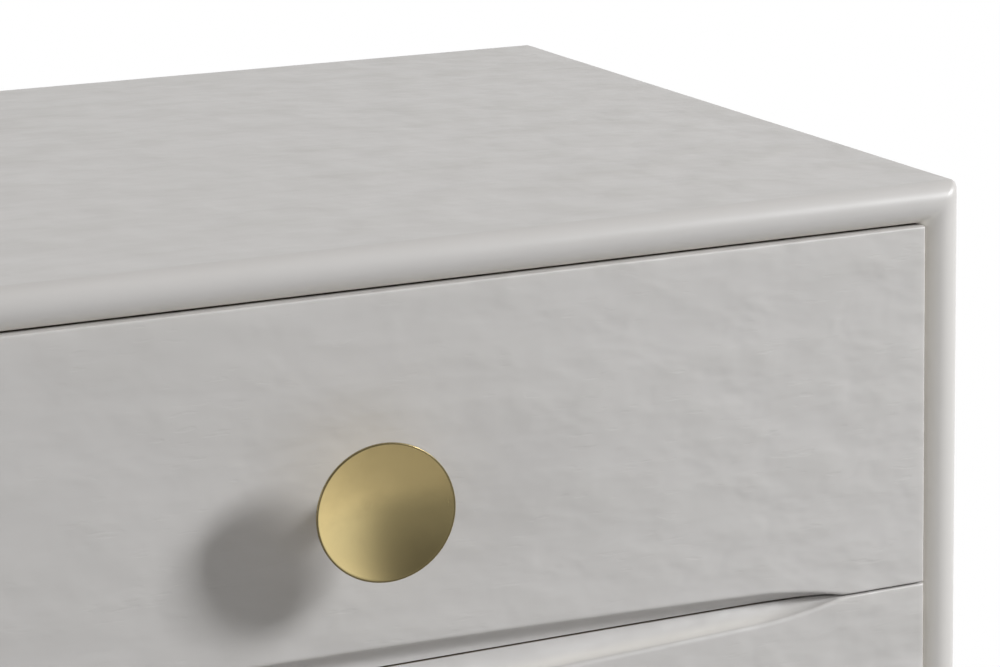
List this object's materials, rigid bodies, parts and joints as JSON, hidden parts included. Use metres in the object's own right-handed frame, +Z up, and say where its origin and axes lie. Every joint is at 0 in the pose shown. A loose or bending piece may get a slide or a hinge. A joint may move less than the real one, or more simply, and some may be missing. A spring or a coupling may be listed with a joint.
{
  "type": "campaign chest",
  "caption": "Lacquered chest of drawers with a mitred round-nosed case, inset fronts that meet in lens-shaped scoops, dished brass knobs and wooden drawer runners.",
  "frame": {"origin": "on the floor, under the middle of the whole object's box, knobs included", "axes": "+Z up, +X to the right seen from the front, the drawers open towards -Y"},
  "size_m": [0.914, 0.603, 0.8308],
  "materials": {
    "lacquered_wood": "warm off-white satin lacquer, laid on by hand with soft long streaks and small puckers",
    "drawer_wood": "clear sealed maple",
    "runner_wood": "waxed beech",
    "plywood": "sealed birch plywood",
    "satin_brass": "satin brass with fine turning marks",
    "screw_steel": "zinc plated",
    "glide_plastic": "moulded nylon"
  },
  "bodies": {
    "case": {"top_panel": "lacquered_wood", "bottom_panel": "lacquered_wood", "left_side_panel": "lacquered_wood", "right_side_panel": "lacquered_wood", "back_panel": "plywood", "front_rail_1": "runner_wood", "back_rail_1": "runner_wood", "left_runner_1": "runner_wood", "right_runner_1": "runner_wood", "front_rail_2": "runner_wood", "back_rail_2": "runner_wood", "left_runner_2": "runner_wood", "right_runner_2": "runner_wood", "front_rail_3": "runner_wood", "back_rail_3": "runner_wood", "left_runner_3": "runner_wood", "right_runner_3": "runner_wood", "left_bottom_runner": "runner_wood", "right_bottom_runner": "runner_wood", "left_top_kicker": "runner_wood", "right_top_kicker": "runner_wood", "plinth_front": "lacquered_wood", "plinth_back": "lacquered_wood", "plinth_left": "lacquered_wood", "plinth_right": "lacquered_wood", "plinth_corner_blocks": "runner_wood", "plinth_glides": "glide_plastic"},
    "drawer_1": {"drawer_1_front": "lacquered_wood", "drawer_1_left_side": "drawer_wood", "drawer_1_right_side": "drawer_wood", "drawer_1_back": "drawer_wood", "drawer_1_bottom": "plywood", "drawer_1_knobs": "satin_brass", "drawer_1_knob_screws": "screw_steel"},
    "drawer_2": {"drawer_2_front": "lacquered_wood", "drawer_2_left_side": "drawer_wood", "drawer_2_right_side": "drawer_wood", "drawer_2_back": "drawer_wood", "drawer_2_bottom": "plywood", "drawer_2_knobs": "satin_brass", "drawer_2_knob_screws": "screw_steel"},
    "drawer_3": {"drawer_3_front": "lacquered_wood", "drawer_3_left_side": "drawer_wood", "drawer_3_right_side": "drawer_wood", "drawer_3_back": "drawer_wood", "drawer_3_bottom": "plywood", "drawer_3_knobs": "satin_brass", "drawer_3_knob_screws": "screw_steel"},
    "drawer_4": {"drawer_4_front": "lacquered_wood", "drawer_4_left_side": "drawer_wood", "drawer_4_right_side": "drawer_wood", "drawer_4_back": "drawer_wood", "drawer_4_bottom": "plywood", "drawer_4_knobs": "satin_brass", "drawer_4_knob_screws": "screw_steel"}
  },
  "joints": [
    {"name": "drawer_1_slide", "type": "slide", "parent": "case", "child": "drawer_1", "axis": [0, -1, 0], "range_m": [0, 0.36]},
    {"name": "drawer_2_slide", "type": "slide", "parent": "case", "child": "drawer_2", "axis": [0, -1, 0], "range_m": [0, 0.36]},
    {"name": "drawer_3_slide", "type": "slide", "parent": "case", "child": "drawer_3", "axis": [0, -1, 0], "range_m": [0, 0.36]},
    {"name": "drawer_4_slide", "type": "slide", "parent": "case", "child": "drawer_4", "axis": [0, -1, 0], "range_m": [0, 0.36]}
  ]
}
